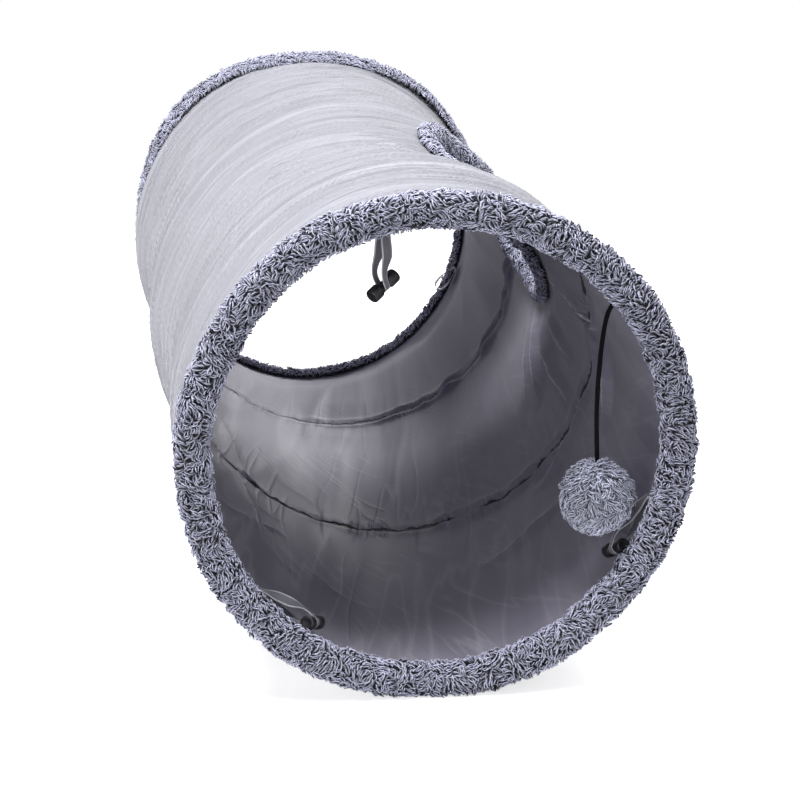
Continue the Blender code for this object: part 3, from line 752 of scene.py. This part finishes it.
# Hoops and coil: hard drawn spring steel wire, oiled and a little tarnished, with a hoop in each binding. The coil
# runs from one to the other under the outer cloth in a woven tape sewn over it.
look = Look("spring_steel", Metallic=0.95, Roughness=0.35)
tarnish = look.noise(look.place(), 60, 3)
drawn = look.noise(look.place(), 1800, 1)
steel = look.finish(look.mix(tarnish, (0.30, 0.30, 0.31), (0.46, 0.46, 0.47)), tarnish * 0.3 + 0.2, drawn, 0.00005)
for name in ("near_hoop", "far_hoop"):
    node = bpy.data.objects[name]
    node.data.materials.clear()
    node.data.materials.append(steel)

wire_start = -0.0013
wire_turns = 2.5
wire_pitch = (tunnel_length - 2 * wire_start) / wire_turns
wire_radius = 0.0011
wire_depth = 0.0024  # from the outer cloth's middle to the wire's
tape_depth = 0.0041
tape_width = 0.014
tape_thickness = 0.0006
tape_free = 9  # steps of the wire that the tape leaves bare at each end
tape_shape = ((-1, 0.5), (-0.88, 0.62), (-0.7, 0.4), (0, 0.5), (0.7, 0.4), (0.88, 0.62), (1, 0.5))
tape_shape += tuple((place, -thick) for place, thick in reversed(tape_shape))


def coil_at(turned, depth, sideways):
    """A place under the outer cloth where the coil has turned that far, moved sideways along the tunnel."""
    angle = coil_start_angle - turned
    along = wire_start + wire_pitch * turned / (2 * math.pi)
    radius = shell_radius(angle, along) - settled(angle, along) - depth
    place = (radius * np.cos(angle), along + sideways - half_length, axis_height + radius * np.sin(angle))
    return np.stack(place, -1)


wire_turned = np.linspace(0, 2 * math.pi * wire_turns, 301)
points, faces = swept(coil_at(wire_turned, wire_depth, 0), 10, wire_radius)
wire = make_piece("coil_spring_wire", points, faces, steel)
look = Look("coil_tape", Roughness=0.9)
herringbone = look.noise(look.place(), 1300)
webbing = look.mix(herringbone, (0.32, 0.32, 0.36), (0.44, 0.44, 0.48))
webbing = look.finish(webbing, None, herringbone, 0.0002)
tape_turned = wire_turned[tape_free:-tape_free]
rows = []
for place, thick in tape_shape:
    rows.append(coil_at(tape_turned, tape_depth - thick * tape_thickness, place * tape_width / 2))
# The tape's outline runs the other way round than a skinned ring does.
number = np.arange(len(tape_turned) * len(tape_shape)).reshape(-1, len(tape_shape))
after = np.roll(number, -1, axis=1)
faces = np.stack([number[:-1], number[1:], after[1:], after[:-1]], -1).reshape(-1, 4).tolist()
faces += [number[0].tolist(), number[-1][::-1].tolist()]
tape = make_piece("coil_tape_webbing", np.stack(rows, 1).reshape(-1, 3), faces, webbing)
for piece, node, slot in ((wire, "coil_wire", "spring_steel"), (tape, "coil_tape", "coil_tape")):
    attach(piece, "near_mouth")
    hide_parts(node)
    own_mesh(piece)

# Peephole's edge: a ring of the same curly plush on the same backing, near black as painted shade. It is folded over
# the cut edges of both cloths, sewn through them and bent to the wall.
edge_half_thick = 0.0082
edge_half_wide = 0.0085
edge_slot = 0.0044
edge_slot_depth = -0.001
edge_curl = {"length": 0.0062, "width": 0.0015, "rise": 0.0034, "bend": 2.8}


def peephole_section(turns, across, along):
    """A place on the edge from its turn round the peephole and its two ways across the section."""
    reach = peephole_reach + along
    place_across = reach * np.cos(turns)
    place_along = peephole_along + reach * np.sin(turns)
    angle = peephole_angle + place_across / peephole_wall_radius
    radius = (shell_radius(angle, place_along) + lining_radius(angle, place_along)) / 2 + across
    return np.stack([radius * np.cos(angle), place_along - half_length, axis_height + radius * np.sin(angle)], -1)


turns = np.linspace(0, 2 * math.pi, 220, endpoint=False)
rounds = np.linspace(math.radians(38), math.radians(322), 34)
section = (peephole_section, edge_half_thick, edge_half_wide, edge_half_wide)
base = band("peephole_edge_backing", *section, turns[::2], edge_slot, edge_slot_depth, backing)
tufts = pile("peephole_edge_pile", oval(*section), turns, rounds, edge_curl, 23, binding_pile)
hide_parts("peephole_edge")
for piece in (base, tufts):
    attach(piece, "near_mouth")
    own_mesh(piece)

# Pompom: a ball of the same plush's strands, bound tightly round the cord's knot and trimmed. They start at the
# bound core and fall from the knot.
pompom_middle = np.array(pivots["pompom"] + Vector((0, 0, -0.0198)))
pompom_core = 0.0185
pompom_curl = {"length": 0.0085, "width": 0.0015, "rise": 0.006, "bend": 0.9}


def on_pompom(turns, rounds, lift):
    flat = np.sin(rounds)
    ways = np.stack([flat * np.cos(turns), flat * np.sin(turns), np.cos(rounds)], -1)
    return pompom_middle + (pompom_core + lift) * ways


def hanging(turns):
    """The pompom's strands fall from the cord's knot."""
    return -math.pi / 2, 0.75


pompom_pile = pile_look("pompom_pile", (0.04, 0.042, 0.07), (0.82, 0.84, 1.0))
turns = np.linspace(0, 2 * math.pi, 84, endpoint=False)
rounds = np.linspace(0.1, math.pi - 0.1, 46)
tufts = pile("pompom_strands", on_pompom, turns, rounds, pompom_curl, 37, pompom_pile, hanging)
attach(tufts, "pompom")
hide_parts("pompom")

# Barrel toggles: black moulded plastic, two drums joined by a waist that the ribbon runs round, with flat ends. Half
# of a toggle's outline is given as radii and places from its end to its middle.
toggle_profile = (
    (0, 0.0116),
    (0.0024, 0.0116),
    (0.0031, 0.0119),
    (0.0036, 0.012),
    (0.0043, 0.01175),
    (0.00468, 0.0112),
    (0.00475, 0.0105),
    (0.00475, 0.0052),
    (0.00462, 0.0046),
    (0.0041, 0.0038),
    (0.0032, 0.0027),
    (0.003, 0.0021),
    (0.003, 0),
)
toggle_profile += tuple((radius, -along) for radius, along in reversed(toggle_profile[:-1]))


def lathed(centre, axis, profile, steps):
    """A turned body about an axis, from points (radius, along) that run from one end to the other."""
    axis = unit(np.array(axis))
    first = unit(np.cross(axis, (0.3, 0.2, 0.9)))
    second = np.cross(axis, first)
    radii = np.array([radius for radius, _ in profile])
    alongs = np.array([along for _, along in profile])
    turn = np.arange(steps) * 2 * math.pi / steps
    ring = np.cos(turn)[:, None] * first + np.sin(turn)[:, None] * second
    body = radii[1:-1, None, None] * ring + (alongs[1:-1, None] * axis)[:, None]
    points = np.vstack([body.reshape(-1, 3), axis * alongs[0], axis * alongs[-1]]) + np.array(centre)
    count = len(radii) - 2
    faces = []
    for step in range(steps):
        after = (step + 1) % steps
        for row in range(count - 1):
            here = row * steps
            faces.append((here + step, here + steps + step, here + steps + after, here + after))
        faces.append((count * steps, step, after))
        last = (count - 1) * steps
        faces.append((count * steps + 1, last + after, last + step))
    return points, faces


look = Look("toggle_plastic", Roughness=0.38, Specular_IOR_Level=0.5)
scuff = look.noise(look.place(), 260, 3)
spark = look.noise(look.place(), 2600, 1)
tone = look.mix(scuff, (0.006, 0.006, 0.008), (0.02, 0.02, 0.024))
moulded = look.finish(tone, scuff * 0.25 + 0.28, spark, 0.00005)
for side, axis in (
    ("top", (0.69282, 0.51962, 0.5)),
    ("left", (0.41237, 0.86603, -0.28275)),
    ("right", (-0.25969, 0.86603, -0.42727)),
):
    points, faces = lathed(pivots[side + "_toggle"], axis, toggle_profile, 40)
    toggle = make_piece(side + "_toggle_barrel", points, faces, moulded)
    toggle.data.set_sharp_from_angle(angle=math.radians(40))
    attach(toggle, side + "_toggle")
    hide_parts(side + "_toggle")

# Ribbon loops: narrow woven satin with a thicker selvedge at both edges, which are painted pale as a sheen. It is
# folded double and sewn in behind the binding. The near ones carry the toggles and narrow where they run round the
# waist. The far ones are bare eyes.
ribbon_width = 0.007
ribbon_thickness = 0.00055  # from its middle at a share of 1
ribbon_shape = ((-1, 0.5), (-0.86, 0.62), (-0.7, 0.4), (0, 0.34), (0.7, 0.4), (0.86, 0.62), (1, 0.5))
ribbon_shape += tuple((place, -thick) for place, thick in reversed(ribbon_shape))
sewn_apart = 0.0005  # from the loop's middle to each leg, where it is sewn in
loop_bend = 0.00365
loop_bulge = 0.0044
waist_width = 0.0042
eye_length = 0.022
eye_radius = 0.00475
look = Look("satin_ribbon", Roughness=0.35, Sheen_Weight=0.3)
woven = look.stored("ribbon", "Vector")
edge = look.part(woven, "X").math("ABSOLUTE").between(0.7, 0.85)
rib = (look.part(woven, "Y") * 9000).math("SINE")
# The edges are painted pale as a sheen.
tone = look.mix(edge, (0.20, 0.20, 0.235), (0.80, 0.80, 0.88))
satin = look.finish(tone, edge * 0.25 + 0.3, rib * 0.4 + edge, 0.00025)


def ribbon(name, root, end, width_way, bend, bulge, waist, tip, twist):
    """A loop of ribbon from its seam at root, with the middle of its bend at end. Its legs bow out by bulge and come
    round a bend of that radius. There it is as wide as waist and leans by tip, and between it turns by twist."""
    root = np.array(root)
    end = np.array(end)
    length = np.linalg.norm(end - root)
    down = (end - root) / length
    width = unit(np.array(width_way) - down * np.dot(down, width_way))
    across = np.cross(width, -down)

    leg = [(sewn_apart, 0), ((sewn_apart + bulge) / 2, 0.25 * length), (bulge, 0.67 * length)]
    arc = [math.pi * step / 6 for step in range(7)]
    path = leg + [(bend * math.cos(turn), length + bend * math.sin(turn)) for turn in arc]
    path += [(-side, low) for side, low in reversed(leg)]
    line = smooth_line([(side, low, 0) for side, low in path], 6)
    ways = unit(np.gradient(line, axis=0))
    ways[0] = (0, 1, 0)
    ways[-1] = (0, -1, 0)

    share = line[:, 1] / length
    bent = smooth(share, 0.5, 0.93)
    half = (ribbon_width + (waist - ribbon_width) * bent) / 2
    lean = math.radians(tip) * bent
    roll = math.radians(twist) * smooth(share, 0.02, 0.35) * (1 - smooth(share, 0.45, 0.8))
    run = run_along(line)
    rows = []
    stored = []
    for place, thick in ribbon_shape:
        side = line[:, 0] + ways[:, 1] * thick * ribbon_thickness + half * place * np.sin(roll)
        low = line[:, 1] - ways[:, 0] * thick * ribbon_thickness - length
        wide = half * place * np.cos(roll)
        turned_wide = wide * np.cos(lean) + low * np.sin(lean)
        turned_low = low * np.cos(lean) - wide * np.sin(lean)
        rows.append(end + side[:, None] * across + turned_wide[:, None] * width + turned_low[:, None] * down)
        stored.append(np.stack([np.full(len(run), place), run, np.zeros(len(run))], -1))
    points, faces = skinned(np.stack(rows, 1))
    return make_piece(name, points, faces, satin, {"ribbon": np.stack(stored, 1).reshape(-1, 3)})


for side, width_way, tip, twist, far_down in (
    ("top", (0.8, 0.6, 0), 30, 20, (0, 0, -1)),
    ("left", (0, 1, 0), -30, 50, (0.91194, 0, -0.41032)),
    ("right", (0, 1, 0), -30, -50, (-0.66787, 0, -0.74428)),
):
    root = pivots[side + "_loop"]
    end = pivots[side + "_toggle"]
    loop = ribbon(side + "_loop_ribbon", root, end, width_way, loop_bend, loop_bulge, waist_width, tip, twist)
    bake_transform(loop)
    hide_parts(side + "_loop")

    name = "far_" + side + "_loop"
    end = pivots[name] + Vector(far_down) * eye_length
    eye = ribbon(name + "_ribbon", pivots[name], end, (0, 1, 0), eye_radius, eye_radius, ribbon_width, 0, 15)
    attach(eye, name)
    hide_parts(name)

# Floor and light: a white floor that keeps the shadow, a white surround and six soft lamps. What the floor and the
# surround send out beyond a plain level is for the camera, and for what glossy surfaces mirror.
floor_radius = 1.35
floor = bpy.data.objects.new("floor", bpy.data.meshes.new("floor"))
turns = np.linspace(0, 2 * math.pi, 96, endpoint=False)
rim = [(floor_radius * math.cos(turn), floor_radius * math.sin(turn), 0) for turn in turns]
floor.data.from_pydata(rim, [], [range(len(rim))])
bpy.context.scene.collection.objects.link(floor)
look = Look("floor", Roughness=0.9)
look.shader.inputs["Emission Color"].default_value = (1, 1, 1, 1)
camera_ray = look.node("LightPath", {}, {}, "Is Camera Ray")
look.feed(look.shader.inputs["Emission Strength"], camera_ray * 0.7)
floor.data.materials.append(look.finish((0.85, 0.85, 0.85, 1)))

world = bpy.data.worlds.new("surround")
world.use_nodes = True
bpy.context.scene.world = world
tree = world.node_tree
ground = tree.nodes["Background"]
ground.inputs["Color"].default_value = (1, 1, 1, 1)
path = tree.nodes.new("ShaderNodeLightPath")
seen = tree.nodes.new("ShaderNodeMath")
seen.operation = "MAXIMUM"
tree.links.new(path.outputs["Is Camera Ray"], seen.inputs[0])
tree.links.new(path.outputs["Is Glossy Ray"], seen.inputs[1])
level = tree.nodes.new("ShaderNodeMapRange")
level.inputs["To Min"].default_value = 0.1
level.inputs["To Max"].default_value = 1
tree.links.new(seen.outputs[0], level.inputs["Value"])
tree.links.new(level.outputs[0], ground.inputs["Strength"])

for name, place, target, size, power in (
    ("key", (-0.6, -0.65, 2.45), (0, 0, 0.15), 1.3, 59),
    ("front", (-0.1, -2.3, 0.62), (0, 0.2, 0.12), 0.4, 1.7),
    ("side", (-1.0, -2.1, 0.75), (0, 0, 0.15), 0.5, 5.5),
    ("above", (0.9, -0.7, 2.0), (0, -0.2, 0.15), 0.9, 13),
    ("left", (-2.2, 0.4, 0.9), (0, 0, 0.15), 1.2, 10),
    ("back", (0.55, 1.7, 0.8), (-0.1, 0.2, 0.1), 0.6, 18),
):
    lamp = bpy.data.objects.new(name, bpy.data.lights.new(name, "AREA"))
    lamp.data.shape = "DISK"
    lamp.data.size = size
    lamp.data.energy = power
    lamp.location = place
    lamp.rotation_euler = (Vector(target) - Vector(place)).to_track_quat("-Z", "Y").to_euler()
    bpy.context.scene.collection.objects.link(lamp)
